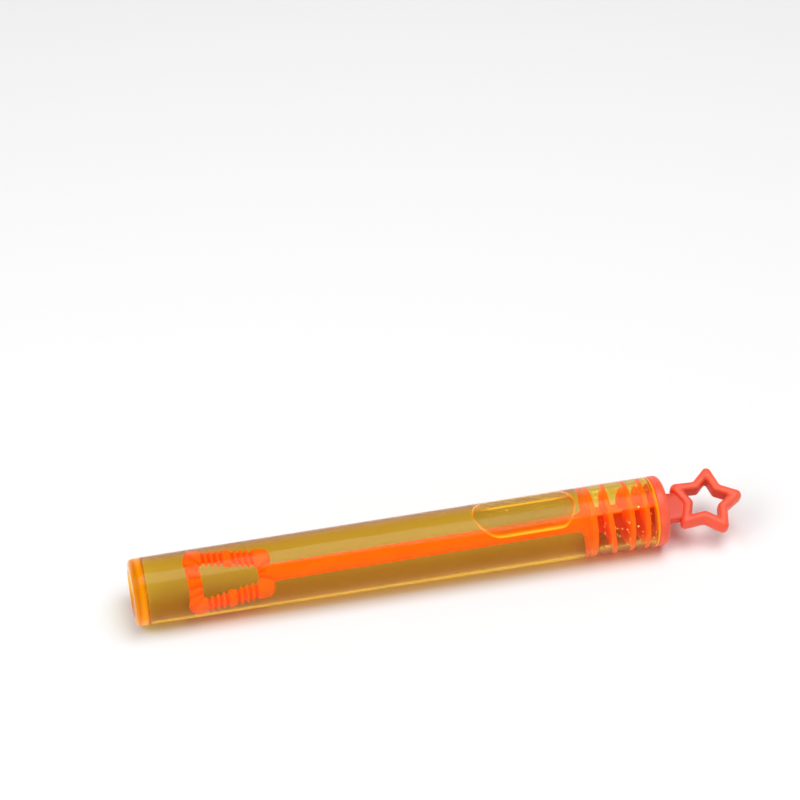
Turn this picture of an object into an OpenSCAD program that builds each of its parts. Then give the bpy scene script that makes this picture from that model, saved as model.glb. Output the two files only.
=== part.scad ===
// Bubble wand: a clear tube of bubble solution, closed by a ringed stopper that
// carries a grooved dip loop inside and a star to hold it by outside.
// It lies on its drafted side on z = 0, with the foot at -X and the star at +X.
// The origin is the middle of the base of its bounding box. Sizes are millimetres.

/* [Tube] */
// Length of the tube from its foot to its mouth
tube_l = 95.0; // [75:0.5:140]
// Outer diameter at the mouth
mouth_d = 12.8; // [12.2:0.1:16]
// Outer diameter at the foot, smaller by the moulding draft
foot_d = 12.0; // [11.4:0.1:12.8]
// Thickness of the side wall
wall_t = 1.1; // [0.8:0.05:1.3]
// Thickness of the closed end
floor_t = 2.2; // [1.4:0.1:4]
// Radius of the rounded edge of the foot
foot_round = 1.0; // [0.4:0.1:1.4]
// Width of the flat ring that the foot can stand on
foot_ring_w = 1.2; // [0.8:0.1:2]
// Depth of the dish inside that ring
dish_h = 0.5; // [0.2:0.05:0.8]
// Lead-in chamfer inside the mouth
lead_in = 0.45; // [0.2:0.05:0.6]

/* [Stopper] */
// Thickness of the flange that caps the mouth
flange_t = 2.0; // [1.4:0.1:3]
// Radius of the flange's rounded outer edge
flange_round = 0.9; // [0.3:0.1:1.1]
// Width of the square core that carries the sealing rings
core_w = 3.75; // [3.6:0.05:5]
// Turn of the core about the axis, measured from the plane of the star
core_turn = -36; // [-45:1:45]
// Number of sealing rings outside the end disc
ring_count = 3; // [1:1:5]
// Distance from one ring to the next
ring_pitch = 3.25; // [2.4:0.05:4]
// Distance from the mouth to the middle of the first ring
first_ring = 2.1; // [1.6:0.1:4]
// Thickness of a sealing ring at its rim
ring_t = 0.9; // [0.5:0.1:1.2]
// Thickness of the end disc that faces the solution
disc_t = 1.2; // [0.8:0.1:2]
// Running clearance of the rings in the mouth, on the radius
seal_gap = 0.05; // [0.02:0.01:0.1]

/* [Dip stick] */
// Diameter of the stick
stick_d = 2.4; // [1.8:0.1:3]
// Diameter of the cone that braces the stick against the end disc
brace_d = 4.5; // [3.4:0.1:6]
// Length of that cone
brace_l = 1.5; // [0.8:0.1:4]
// Space between the loop and the floor of the tube
tip_gap = 7.2; // [5:0.1:20]
// Length of the dip loop
loop_l = 15.7; // [12:0.1:24]
// Clearance of the loop's sides in the bore at the floor
loop_gap = 0.3; // [0.2:0.05:1]
// How much narrower the loop is where it meets the stick
loop_narrow = 2.9; // [0.5:0.1:3.2]
// Turn of the loop about the axis, measured from the plane of the star
loop_turn = 8; // [-10:1:30]
// Thickness of the loop over all
loop_t = 2.5; // [1.8:0.1:3]
// Width of the loop's far end
far_end_w = 3.0; // [1.8:0.1:4]
// Width of the loop's end at the stick
near_end_w = 2.6; // [1.8:0.1:4]
// Width of its long sides over all, at the far end
side_far_w = 1.8; // [1.4:0.05:2.2]
// Width of its long sides over all, at the stick
side_near_w = 2.25; // [1.4:0.05:2.4]
// Depth of the dent in the loop's far end
loop_dent = 0.6; // [0.1:0.1:1]
// Depth of the grooves that hold the film of solution
groove_h = 0.42; // [0.1:0.02:0.56]
// Grooves along each long side, of which one is filled in as a lug
groove_count = 9; // [5:1:10]

/* [Star] */
// Distance from the flange to the middle of the star
star_out = 8.3; // [7.4:0.05:12]
// Radius of the star's points, at the middle of its bar
star_tip_r = 5.86; // [5:0.02:6.4]
// Radius of the star's inner corners, at the middle of its bar
star_waist_r = 3.3; // [2.9:0.05:3.8]
// Width of the star's bar
star_bar_w = 1.8; // [1.2:0.1:2]
// Thickness of the star
star_t = 3.0; // [2:0.1:4]
// Lean of the star in its own plane, where its soft neck has taken a set
star_lean = 1.5; // [0:0.5:6]
// Width of the flat neck between the flange and the star
neck_w = 5.8; // [4:0.1:7]
// Thickness of that neck
neck_t = 1.8; // [1.2:0.1:2.4]

/* [Lie] */
// Angle of the star above the table
roll = 17; // [0:1:45]

/* [Hidden] */
$fn = 96;

// Overrun of each cut past the face that it opens
over = 0.5;
// Gap under the flange when the wand is pushed home
home_gap = 0.05;
// Clearance of a pressed-in root or tang, on each side
press_gap = 0.03;
// Straight length of the mouth beyond the end disc
seat_margin = 1.5;
// Radius of the tube's outer edge at the mouth
rim_round = 0.2;
// Radius where the bore meets the floor
bore_round = 0.8;
// Radius of the flange's edge next to the tube
flange_back_round = 0.2;
// How much thicker a sealing ring is at its root than at its rim
ring_root_extra = 0.3;
// Root of the stick in the stopper: diameter, depth and the flat that stops it turning
root_d = 3.0;
root_l = 7.0;
root_flat = 0.35;
// Radius of the core's long edges
core_round = 0.4;
// Tang of the star in the stopper: width, thickness and depth
tang_w = 2.6;
tang_t = 1.4;
tang_l = 4.6;
// Radius of the neck's long edges
neck_round = 0.45;
// Radii of the loop's corners, of its hole's corners and of the dent
loop_round = 1.3;
hole_round = 0.2;
dent_round = 2.0;
// How far the hole's edge follows the dent, as a share of the dent
hole_dent_share = 0.2;
// Radii of the star's outer points, inner points, outer corners and inner corners
point_round = 0.85;
hole_point_round = 0.25;
corner_round = 1.2;
hole_corner_round = 0.9;

// Steps of an arc in a revolved profile
arc_steps = 8;
// Steps of a corner, steps of a groove and points round a bar's section
corner_steps = 5;
groove_steps = 6;
section_points = 12;
// How square a section is: 2 is an ellipse, and more is squarer
bar_power = 3.4;
star_power = 3.0;
// Plain length between the ends of the hole and the first and last grooves
groove_far_gap = 0.3;
groove_near_gap = 0.3;
// Groove that the lug fills, counted from 0 at the far end
lug_groove = 4;
// Grooves across the end next to the stick, and across each half of the far end
near_end_grooves = 3;
far_half_grooves = 2;
// Depth of the grooves in the ends and in the far corners, as shares of the others' depth
end_groove_share = 0.55;
corner_groove_share = 0.4;

mouth_r = mouth_d / 2;
foot_r = foot_d / 2;
tilt = atan((mouth_r - foot_r) / tube_l);
seat_r = mouth_r - wall_t;
bore_foot_r = foot_r - wall_t;
seal_r = seat_r - seal_gap;
core_half = core_w / 2;
ring_root_r = core_half + core_round;
disc_mid = first_ring + ring_count * ring_pitch;
plug_l = disc_mid + disc_t / 2;
seat_l = plug_l + seat_margin;
flange_face = home_gap + flange_t;

loop_far_x = floor_t + tip_gap - tube_l;
loop_near_x = loop_far_x + loop_l;
loop_half_t = loop_t / 2;
loop_far_y = bore_foot_r - loop_gap;
loop_near_y = loop_far_y - loop_narrow / 2;
hole_far_x = loop_far_x + far_end_w;
hole_near_x = loop_near_x - near_end_w;
groove_far_x = hole_far_x + groove_far_gap;
groove_near_x = hole_near_x - groove_near_gap;

// Half angle of a star's point, from the two radii of its bar
point_angle = atan(star_waist_r * sin(36) / (star_tip_r - star_waist_r * cos(36)));
// Distance from the star's middle to the centre of a point's rounding
point_centre_r = star_tip_r + (star_bar_w / 2 - point_round) / sin(point_angle);

// Ends of the wand along the table, measured from the middle of its foot
foot_end_x = -(foot_r - foot_round) * sin(tilt);
star_end_x = (tube_l + flange_face + (star_out + point_centre_r) * cos(star_lean) + point_round) * cos(tilt);

// Unit vector from a to b
function toward(a, b) = (b - a) / norm(b - a);

// Points of an arc about a centre, from one angle to another
function arc(centre, radius, from, to, steps = arc_steps) = [
    for (i = [0 : steps])
        let (angle = from + (to - from) * i / steps)
        centre + radius * [cos(angle), sin(angle)]
];

// Rounded corner p between its neighbours a and b: a list of [point, outward normal]
function rounded_corner(a, p, b, radius, steps) =
    let (
        to_a = toward(p, a),
        to_b = toward(p, b),
        half = acos(to_a * to_b) / 2,
        centre = p + toward([0, 0], to_a + to_b) * radius / sin(half),
        side = sign(cross(p - a, b - p)),
        start = (p + to_a * radius / tan(half) - centre) / radius,
        sweep = side * (180 - 2 * half)
    )
    [
        for (i = [0 : steps])
            let (
                angle = sweep * i / steps,
                spoke = [
                    cos(angle) * start.x - sin(angle) * start.y,
                    sin(angle) * start.x + cos(angle) * start.y
                ]
            )
            [centre + radius * spoke, side * spoke]
    ];

// All corners of a closed outline, each rounded by its own radius
function rounded_corners(corners, radii, steps) =
    let (count = len(corners))
    [
        for (i = [0 : count - 1])
            rounded_corner(
                corners[(i + count - 1) % count], corners[i], corners[(i + 1) % count],
                radii[i], steps
            )
    ];

// Coordinate of a rounded section, from -1 to 1, at a cosine or a sine
function squared(value, power) = sign(value) * pow(abs(value), 2 / power);

// Closed bar between an inner and an outer outline with as many points each.
// Its section is a superellipse, as thick at each point as half_t says, twice over.
module bar_between(inner, outer, half_t, power) {
    count = len(inner);
    points = [
        for (i = [0 : count - 1], j = [0 : section_points - 1])
            let (
                angle = 360 * (j + 0.5) / section_points,
                middle = (inner[i] + outer[i]) / 2,
                reach = (outer[i] - inner[i]) / 2 * squared(cos(angle), power)
            )
            [middle.x + reach.x, middle.y + reach.y, half_t[i] * squared(sin(angle), power)]
    ];
    faces = [
        for (i = [0 : count - 1], j = [0 : section_points - 1])
            let (
                next_i = (i + 1) % count,
                next_j = (j + 1) % section_points,
                a = i * section_points + j,
                b = next_i * section_points + j,
                c = next_i * section_points + next_j,
                d = i * section_points + next_j
            )
            each [[a, c, b], [a, d, c]]
    ];
    polyhedron(points = points, faces = faces);
}

// Height left at a place, from 0 to 1, along a stretch with some grooves of a depth
function grooved(place, count, depth) = 1 - depth * (0.5 - 0.5 * cos(360 * count * place));

// The same along a long side, counted from the far end, with its lug
function long_side(place) =
    floor(place * groove_count) == lug_groove ? 1 : grooved(place, groove_count, 1);

// Half width of the loop's outer edge at a place along the axis
function loop_y(x) = loop_far_y - (x - loop_far_x) / loop_l * loop_narrow / 2;

// Point of a line at a place along the axis
function at_x(from, to, x) = from + (to - from) * (x - from.x) / (to.x - from.x);

// Stations round an outline of the dip loop: [point, height from 0 to 1].
// The grooves are cut in from the outline, whose side is 1 outside and -1 at the hole
function loop_stations(far, near, dent, radius, side) =
    let (
        corners = [
            [far.x, -far.y], [near.x, -near.y], [near.x, near.y], [far.x, far.y], [far.x + dent, 0]
        ],
        radii = [radius, radius, radius, radius, dent_round],
        corner_depths = [corner_groove_share, 0, 0, corner_groove_share, 0],
        edge_grooves = [groove_count, near_end_grooves, groove_count, far_half_grooves, far_half_grooves],
        arcs = rounded_corners(corners, radii, corner_steps)
    )
    [
        for (i = [0 : len(corners) - 1])
            let (
                from = arcs[i][corner_steps][0],
                to = arcs[(i + 1) % len(corners)][0][0],
                along = toward(from, to),
                outward = [along.y, -along.x],
                is_long = i == 0 || i == 2,
                start = is_long ? at_x(from, to, i == 0 ? groove_far_x : groove_near_x) : from,
                end = is_long ? at_x(from, to, i == 0 ? groove_near_x : groove_far_x) : to,
                edge_steps = edge_grooves[i] * groove_steps,
                skipped = is_long ? 0 : 1
            )
            each concat(
                [
                    for (j = [0 : corner_steps])
                        let (height = grooved(j / corner_steps, 1, corner_depths[i]))
                        [arcs[i][j][0] - arcs[i][j][1] * side * groove_h * (1 - height), height]
                ],
                [
                    for (j = [skipped : edge_steps - skipped])
                        let (
                            place = j / edge_steps,
                            height = i == 0 ? long_side(place)
                                : i == 2 ? long_side(1 - place)
                                : grooved(place, edge_grooves[i], end_groove_share)
                        )
                        [start + (end - start) * place - outward * side * groove_h * (1 - height), height]
                ]
            )
    ];

// Corners of a star whose bar's middle line is moved outwards by a distance
function star_corners(offset) = [
    for (i = [0 : 9])
        let (
            radius = i % 2 == 0
                ? star_tip_r + offset / sin(point_angle)
                : star_waist_r + offset / sin(point_angle + 36)
        )
        radius * [cos(36 * i), sin(36 * i)]
];

// Rounded outline of that star, with one radius for its points and one for its corners
function star_outline(offset, at_points, at_corners) = [
    for (
        corner = rounded_corners(
            star_corners(offset), [for (i = [0 : 9]) i % 2 == 0 ? at_points : at_corners], corner_steps
        ),
        station = corner
    )
        station[0]
];

// Half of the tube's section: radius and height above the foot
function tube_profile() =
    let (
        ring_r = foot_r - foot_round,
        dish_r = ring_r - foot_ring_w,
        foot_edge_r = foot_r + foot_round * tan(tilt)
    )
    concat(
        [[0, dish_h], [dish_r - dish_h, dish_h], [dish_r, 0]],
        arc([foot_edge_r - foot_round, foot_round], foot_round, -90, 0),
        arc([mouth_r - rim_round, tube_l - rim_round], rim_round, 0, 90),
        [[seat_r + lead_in, tube_l], [seat_r, tube_l - lead_in], [seat_r, tube_l - seat_l]],
        arc([bore_foot_r - bore_round, floor_t + bore_round], bore_round, 0, -90),
        [[0, floor_t]]
    );

// Half of a sealing disc's section: radius and distance outwards from the mouth.
// It has one thickness at the core, and tapers to another at its rim
function disc_profile(middle, rim_t, root_t) = [
    [0, middle - root_t / 2],
    [ring_root_r, middle - root_t / 2],
    [seal_r, middle - rim_t / 2],
    [seal_r, middle + rim_t / 2],
    [ring_root_r, middle + root_t / 2],
    [0, middle + root_t / 2]
];

// Half of the flange's section
function flange_profile() = concat(
    [[0, home_gap]],
    arc([mouth_r - flange_back_round, home_gap + flange_back_round], flange_back_round, -90, 0),
    arc([mouth_r - flange_round, flange_face - flange_round], flange_round, 0, 90),
    [[0, flange_face]]
);

// Section of a bar with rounded edges, from its half sizes along x and y
function bar_section(half_x, half_y, radius) =
    let (
        corners = [[-half_x, -half_y], [half_x, -half_y], [half_x, half_y], [-half_x, half_y]],
        arcs = rounded_corners(corners, [for (corner = corners) radius], corner_steps)
    )
    [for (corner = arcs, station = corner) station[0]];

// Places its children, drawn in the mouth's frame, where the wand lies at rest:
// x runs out of the mouth along the axis, and z is square to the star
module at_mouth() {
    translate([-(foot_end_x + star_end_x) / 2, 0, foot_r * cos(tilt)])
        rotate([0, -tilt, 0])
            translate([tube_l, 0, 0])
                rotate([roll, 0, 0])
                    children();
}

// Turns a revolved shape from +Z to +X
module along_x() {
    rotate([0, 90, 0]) children();
}

// Keyed round root of the stick, or its socket: it is larger by the gap on each side,
// and it starts before the end disc by the overrun
module root_solid(gap, overrun) {
    difference() {
        translate([-plug_l - overrun, 0, 0])
            along_x() cylinder(d = root_d + 2 * gap, h = overrun + root_l + gap);
        translate([-plug_l - root_d, -root_d, root_d / 2 - root_flat + gap])
            cube([root_l + 2 * root_d, 2 * root_d, root_d]);
    }
}

// Flat tang of the star, or its slot: it is larger by the gap on each side,
// and it ends outside the flange by the overrun
module tang_solid(gap, overrun) {
    translate([flange_face - tang_l - gap, -tang_w / 2 - gap, -tang_t / 2 - gap])
        cube([tang_l + gap + overrun, tang_w + 2 * gap, tang_t + 2 * gap]);
}

// Clear drafted tube with a thick floor, a standing ring and a chamfered mouth
module tube() {
    color("orange", 0.5)
        at_mouth()
            translate([-tube_l, 0, 0])
                along_x() rotate_extrude() polygon(tube_profile());
}

// Push-in stopper: flange, square core, sealing rings and the end disc
module stopper() {
    color("coral")
        at_mouth()
            difference() {
                union() {
                    along_x() rotate_extrude() polygon(disc_profile(-disc_mid, disc_t, disc_t));
                    for (middle = [for (i = [0 : ring_count - 1]) -first_ring - i * ring_pitch])
                        along_x() rotate_extrude()
                            polygon(disc_profile(middle, ring_t, ring_t + ring_root_extra));
                    along_x() rotate_extrude() polygon(flange_profile());
                    core();
                }
                root_solid(press_gap, over);
                tang_solid(press_gap, over);
            }
}

// Square core with rounded edges, from the middle of the end disc to the middle of the flange
module core() {
    translate([-disc_mid, 0, 0])
        rotate([core_turn, 0, 0])
            along_x() linear_extrude(height = disc_mid + home_gap + flange_t / 2)
                polygon(bar_section(core_half, core_half, core_round));
}

// Stick with its keyed root, its bracing cone and the grooved dip loop
module dip_stick() {
    outer = loop_stations(
        [loop_far_x, loop_far_y], [loop_near_x, loop_near_y], loop_dent, loop_round, 1
    );
    inner = loop_stations(
        [hole_far_x, loop_y(hole_far_x) - side_far_w], [hole_near_x, loop_y(hole_near_x) - side_near_w],
        loop_dent * hole_dent_share, hole_round, -1
    );
    color("darkorange")
        at_mouth() {
            root_solid(0, 0);
            translate([-plug_l - brace_l, 0, 0])
                along_x() cylinder(d1 = stick_d, d2 = brace_d, h = brace_l);
            translate([loop_near_x - near_end_w / 2, 0, 0])
                along_x() cylinder(d = stick_d, h = near_end_w / 2 - plug_l - loop_near_x);
            rotate([loop_turn, 0, 0])
                bar_between(
                    [for (station = inner) station[0]],
                    [for (station = outer) station[0]],
                    [for (station = outer) loop_half_t - groove_h * (1 - station[1])],
                    bar_power
                );
        }
}

// Open star on a flat neck, with the tang that holds it in the stopper
module star_topper() {
    inner = star_outline(-star_bar_w / 2, hole_point_round, hole_corner_round);
    outer = star_outline(star_bar_w / 2, point_round, corner_round);
    color("tomato")
        at_mouth() {
            tang_solid(0, 0);
            neck();
            translate([flange_face, 0, 0])
                rotate([0, 0, star_lean])
                    translate([star_out, 0, 0])
                        bar_between(inner, outer, [for (point = inner) star_t / 2], star_power);
        }
}

// Flat neck with rounded long edges, from the flange to the middle of the star's bar
module neck() {
    translate([flange_face, 0, 0])
        along_x()
            linear_extrude(height = star_out - star_waist_r)
                polygon(bar_section(neck_t / 2, neck_w / 2, neck_round));
}

tube();
stopper();
dip_stick();
star_topper();
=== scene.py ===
"""Looks of a bubble wand: an amber tube of solution, closed by a coral stopper with a dip loop and a star.

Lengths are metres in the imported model's frame. Each piece is first shaped in the mouth's frame, where
+X runs out of the tube along its axis and +Z is square to the star, and is then laid on the table.
"""

import logging
import math
from dataclasses import dataclass, field
from enum import Enum
from functools import cache
from typing import Optional, Sequence, Union

import bpy
import numpy as np
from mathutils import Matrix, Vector

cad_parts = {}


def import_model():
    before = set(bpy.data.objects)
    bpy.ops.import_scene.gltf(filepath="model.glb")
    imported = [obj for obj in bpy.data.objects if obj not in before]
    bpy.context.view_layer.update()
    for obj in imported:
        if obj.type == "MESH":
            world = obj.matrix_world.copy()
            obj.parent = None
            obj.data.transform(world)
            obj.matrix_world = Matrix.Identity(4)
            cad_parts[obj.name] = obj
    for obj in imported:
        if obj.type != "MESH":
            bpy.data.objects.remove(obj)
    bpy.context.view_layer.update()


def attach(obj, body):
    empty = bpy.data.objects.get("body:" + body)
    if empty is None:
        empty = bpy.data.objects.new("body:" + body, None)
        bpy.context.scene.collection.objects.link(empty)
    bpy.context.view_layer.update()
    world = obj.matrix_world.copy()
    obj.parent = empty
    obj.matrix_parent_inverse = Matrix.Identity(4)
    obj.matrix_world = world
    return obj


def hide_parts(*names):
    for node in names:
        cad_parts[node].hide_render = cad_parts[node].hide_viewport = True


LOG = logging.getLogger("bubble_wand")
MM = 0.001
Pair = tuple[float, float]
Colour = tuple[float, float, float]
Place = tuple[float, float, float]
Array = np.ndarray


# Surfaces


@dataclass
class Skin:
    """One closed surface: its points, its four-sided and three-sided faces, and values kept at its points."""

    points: Array
    quads: Array
    tris: Array
    values: dict[str, Array] = field(default_factory=dict)

    def outward(self) -> "Skin":
        """Turns every face over if the signed volume of the tetrahedra to the origin is negative.

        Returns:
            The same skin, with its faces pointing outwards.
        """
        corners = np.vstack([self.quads[:, [0, 1, 2]], self.quads[:, [0, 2, 3]], self.tris])
        a, b, c = (self.points[corners[:, k]] for k in range(3))
        if np.einsum("ij,ij->i", a, np.cross(b, c)).sum() < 0:
            self.quads = self.quads[:, ::-1]
            self.tris = self.tris[:, ::-1]
        return self


def circle(steps: int) -> Array:
    """Angles spread evenly round a circle."""
    return np.linspace(0, 2 * math.pi, steps, endpoint=False)


def turned(a: Array, b: Array, angle: Union[Array, float]) -> tuple[Array, Array]:
    """Coordinates (a, b) after a turn by an angle from the first axis towards the second."""
    c, s = np.cos(angle), np.sin(angle)
    return c * a - s * b, s * a + c * b


def lofted(
    rows: Array, first: Optional[Array] = None, last: Optional[Array] = None, looped: bool = False
) -> Skin:
    """Joins rings of points into a closed skin: neighbours in a ring and in the next ring share a face.

    Args:
        rows: rings of points, shaped (rings, points, 3), each ring closed on itself.
        first: point that closes the first ring, as a pole.
        last: point that closes the last ring, as a pole.
        looped: whether the last ring joins the first, as round a torus.

    Returns:
        The skin, with its faces pointing outwards.
    """
    count, size = rows.shape[:2]
    points = rows.reshape(-1, 3)
    ring = np.arange(count if looped else count - 1)[:, None] * size
    after = (ring + size) % (count * size)
    here, along = np.arange(size)[None, :], (np.arange(size) + 1)[None, :] % size
    quads = np.stack([ring + here, after + here, after + along, ring + along], -1).reshape(-1, 4)
    tris = []
    for pole, start, flipped in ((first, 0, False), (last, (count - 1) * size, True)):
        if pole is None:
            continue
        tip = np.full(size, len(points))
        fan = np.stack([tip, start + here[0], start + along[0]], -1)
        tris.append(fan[:, ::-1] if flipped else fan)
        points = np.vstack([points, pole])
    return Skin(points, quads, np.vstack(tris) if tris else np.zeros((0, 3), int)).outward()


def revolved(profile: Array, steps: int, lean: Optional[Array] = None) -> Skin:
    """Turns a profile about the X axis: each point (radius, x) becomes a circle of that radius at that x.

    Args:
        profile: points (radius, x); a radius of zero at either end closes the skin there.
        steps: points on each circle.
        lean: for each profile point, how far along X its circle is sheared per unit of +Z.

    Returns:
        The skin.
    """
    turn = circle(steps)
    radius, along = profile[:, :1], profile[:, 1:]
    rows = np.stack([along + 0 * turn, radius * np.cos(turn), radius * np.sin(turn)], -1)
    if lean is not None:
        rows[..., 0] += lean[:, None] * rows[..., 2]
    inner = rows[1:-1] if profile[0, 0] == 0 else rows[:-1]
    return lofted(inner, rows[0, 0], rows[-1, 0])


def rounded_corner(
    before: Array, corner: Array, after: Array, radius: float, steps: int
) -> tuple[Array, Array]:
    """Rounds a corner by the circle that touches both of its sides.

    Args:
        before: the corner's neighbour on one side, as (a, b).
        corner: the corner.
        after: the neighbour on the other side.
        radius: radius of the circle.
        steps: steps along the arc.

    Returns:
        The arc's points and their normals, which point away from the inside of a counter-clockwise outline.
    """
    to_before, to_after = (v / np.linalg.norm(v) for v in (before - corner, after - corner))
    half = math.acos(float(np.clip(to_before @ to_after, -1, 1))) / 2
    middle = to_before + to_after
    centre = corner + middle / np.linalg.norm(middle) * radius / math.sin(half)
    spoke = (corner + to_before * radius / math.tan(half) - centre) / radius
    into, out = corner - before, after - corner
    side = math.copysign(1, into[0] * out[1] - into[1] * out[0])
    angle = side * (math.pi - 2 * half) * np.linspace(0, 1, steps + 1)
    spokes = np.stack(turned(spoke[0], spoke[1], angle), -1)
    return centre + radius * spokes, side * spokes


def corner_arcs(corners: Array, radii: Sequence[float], steps: int) -> list[tuple[Array, Array]]:
    """Points and normals of the arc at each corner of a closed outline, whose corners have those radii."""
    sides = zip(np.roll(corners, 1, axis=0), corners, np.roll(corners, -1, axis=0), radii)
    return [rounded_corner(before, corner, after, radius, steps) for before, corner, after, radius in sides]


def rounded_line(corners: Sequence[Pair], radii: Sequence[float], step: float, steps: int = 8) -> Array:
    """Rounds the inner corners of an open line and splits its straight runs into equal steps.

    Args:
        corners: the line's corners, in order.
        radii: radius for each corner but the first and the last; zero keeps it sharp.
        step: longest step along a straight run.
        steps: steps along each arc.

    Returns:
        The line's points.
    """
    line = [np.array(corners[0], float)[None]]
    for k, radius in enumerate(radii):
        a, p, b = (np.array(corners[k + n], float) for n in range(3))
        line.append(rounded_corner(a, p, b, radius, steps)[0] if radius else p[None])
    line = np.vstack(line + [np.array(corners[-1], float)[None]])
    counts = np.maximum(np.ceil(np.linalg.norm(np.diff(line, axis=0), axis=1) / step).astype(int), 1)
    shares = [np.linspace(0, 1, count, endpoint=False)[:, None] for count in counts]
    runs = [a + (b - a) * share for a, b, share in zip(line, line[1:], shares)]
    return np.vstack(runs + [line[-1:]])


def squared(value: Array, power: float) -> Array:
    """Coordinate of a superellipse of that power, at a cosine or a sine."""
    return np.sign(value) * np.abs(value) ** (2 / power)


def bar_between(inner: Array, outer: Array, half_t: Array, power: float, points: int) -> Skin:
    """Closed bar between two matched outlines, with a superellipse for its section.

    Args:
        inner: outline of the hole, shaped (stations, 2).
        outer: outer outline, with as many stations.
        half_t: half of the thickness at each station.
        power: how square the section is; 2 is an ellipse.
        points: points round the section.

    Returns:
        The skin.
    """
    angle = circle(points) + math.pi / points
    reach = (outer - inner)[:, None, :] / 2 * squared(np.cos(angle), power)[None, :, None]
    flat = (inner + outer)[:, None, :] / 2 + reach
    height = half_t[:, None] * squared(np.sin(angle), power)[None, :]
    return lofted(np.concatenate([flat, height[..., None]], -1), looped=True)


# The wand's lie


@dataclass(frozen=True)
class Lie:
    """How the wand lies: on its drafted side, rolled about its axis, with its middle over the origin."""

    tube_l: float = 95.0 * MM
    mouth_r: float = 6.4 * MM
    foot_r: float = 6.0 * MM
    wall_t: float = 1.1 * MM
    floor_t: float = 2.2 * MM
    plug_l: float = 12.45 * MM
    seat_l: float = 13.95 * MM
    flange_face: float = 2.05 * MM
    roll: float = math.radians(17)
    middle_x: float = 56.064 * MM
    inside_fade: float = 0.8 * MM

    @property
    def tilt(self) -> float:
        """Angle of the axis above the table, from the draft."""
        return math.atan((self.mouth_r - self.foot_r) / self.tube_l)

    @property
    def bore_mouth_r(self) -> float:
        """Radius of the bore's straight seat at the mouth."""
        return self.mouth_r - self.wall_t

    @property
    def bore_foot_r(self) -> float:
        """Radius of the bore at the floor."""
        return self.foot_r - self.wall_t

    def outer_r(self, height: Array) -> Array:
        """Radius of the drafted outside at a height above the foot."""
        return self.foot_r + (self.mouth_r - self.foot_r) * height / self.tube_l

    def bore_r(self, x: Array) -> Array:
        """Radius of the bore at a place in the mouth's frame: a straight line from the floor to the seat."""
        share = (x + self.tube_l - self.floor_t) / (self.tube_l - self.floor_t - self.seat_l)
        return self.bore_foot_r + (self.bore_mouth_r - self.bore_foot_r) * np.clip(share, 0, 1)

    def lay_inner(self, skin: Skin) -> None:
        """Lays a skin of the wand on the table, and marks its points that stand inside the tube."""
        skin.values["inside"] = np.clip(-skin.points[:, 0] / self.inside_fade, 0, 1)
        skin.points = self.laid(skin.points)

    def laid(self, points: Array, rolled: bool = True) -> Array:
        """Moves points from the mouth's frame to the table: roll about X, out to the mouth, tilt about Y.

        Args:
            points: points shaped (n, 3).
            rolled: False for what keeps level, such as an air bubble.

        Returns:
            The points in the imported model's frame.
        """
        y, z = turned(points[:, 1], points[:, 2], self.roll if rolled else 0.0)
        x, z = turned(points[:, 0] + self.tube_l, z, self.tilt)
        return np.stack([x - self.middle_x, y, z + self.foot_r * math.cos(self.tilt)], -1)


# Shaders


class Term:
    """A number socket: each operator adds a Math node, and plain numbers go on the node's own sockets."""

    def __init__(self, shader: "Shader", socket: bpy.types.NodeSocket) -> None:
        """Keeps the shader that holds the socket."""
        self.shader, self.socket = shader, socket

    def _math(self, operation: str, *parts: Union["Term", float], clamp: bool = False) -> "Term":
        """Adds a Math node of that operation on the parts."""
        settings = {"operation": operation, "use_clamp": clamp}
        return self.shader.term("ShaderNodeMath", settings, dict(enumerate(parts)))

    def __add__(self, other: Union["Term", float]) -> "Term":
        """Sum."""
        return self._math("ADD", self, other)

    def __sub__(self, other: Union["Term", float]) -> "Term":
        """Difference."""
        return self._math("SUBTRACT", self, other)

    def __rsub__(self, other: float) -> "Term":
        """Difference from a number."""
        return self._math("SUBTRACT", other, self)

    def __mul__(self, other: Union["Term", float]) -> "Term":
        """Product."""
        return self._math("MULTIPLY", self, other)

    def larger(self, other: Union["Term", float]) -> "Term":
        """The larger of the two."""
        return self._math("MAXIMUM", self, other)

    def clamped(self) -> "Term":
        """The value kept between 0 and 1."""
        return self._math("ADD", self, 0.0, clamp=True)


Feed = Union[Term, bpy.types.NodeSocket, float, Sequence[float]]
Values = Optional[dict]


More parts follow.
